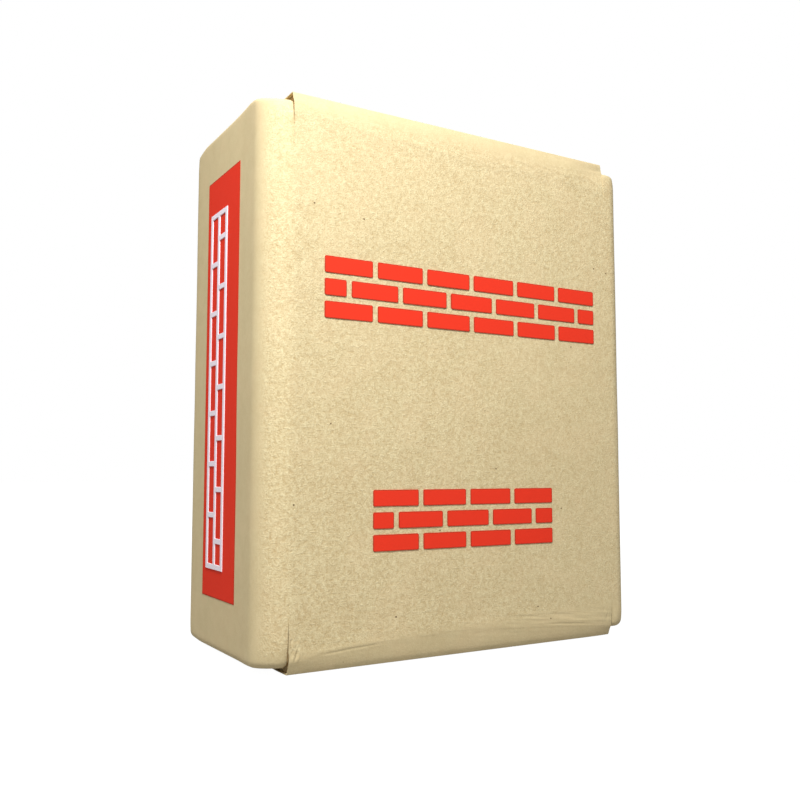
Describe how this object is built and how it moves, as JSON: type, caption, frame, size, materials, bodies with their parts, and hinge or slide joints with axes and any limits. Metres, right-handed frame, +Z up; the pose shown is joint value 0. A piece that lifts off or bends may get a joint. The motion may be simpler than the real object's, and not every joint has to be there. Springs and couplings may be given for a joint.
{
  "type": "filled paper cement sack",
  "caption": "Tight, box-like filled kraft paper cement sack with folded block ends, cover sheets on the ends, and a plain red and white print.",
  "frame": {"origin": "on the floor, in the middle of the footprint of the standing sack", "axes": "+Z up from the bottom end to the top end, -Y out of the printed broad front face, -X out of the narrow side face with the red stripe"},
  "size_m": [0.402, 0.1958, 0.4916],
  "materials": {
    "kraft_paper": "matt, finely mottled fibre grain",
    "patch_paper": "matt, pasted flat",
    "red_ink": "printed, low sheen",
    "white_ink": "printed, low sheen"
  },
  "bodies": {
    "root": {"paper_sack": "kraft_paper", "top_end_patch": "patch_paper", "bottom_end_patch": "patch_paper"}
  },
  "joints": []
}
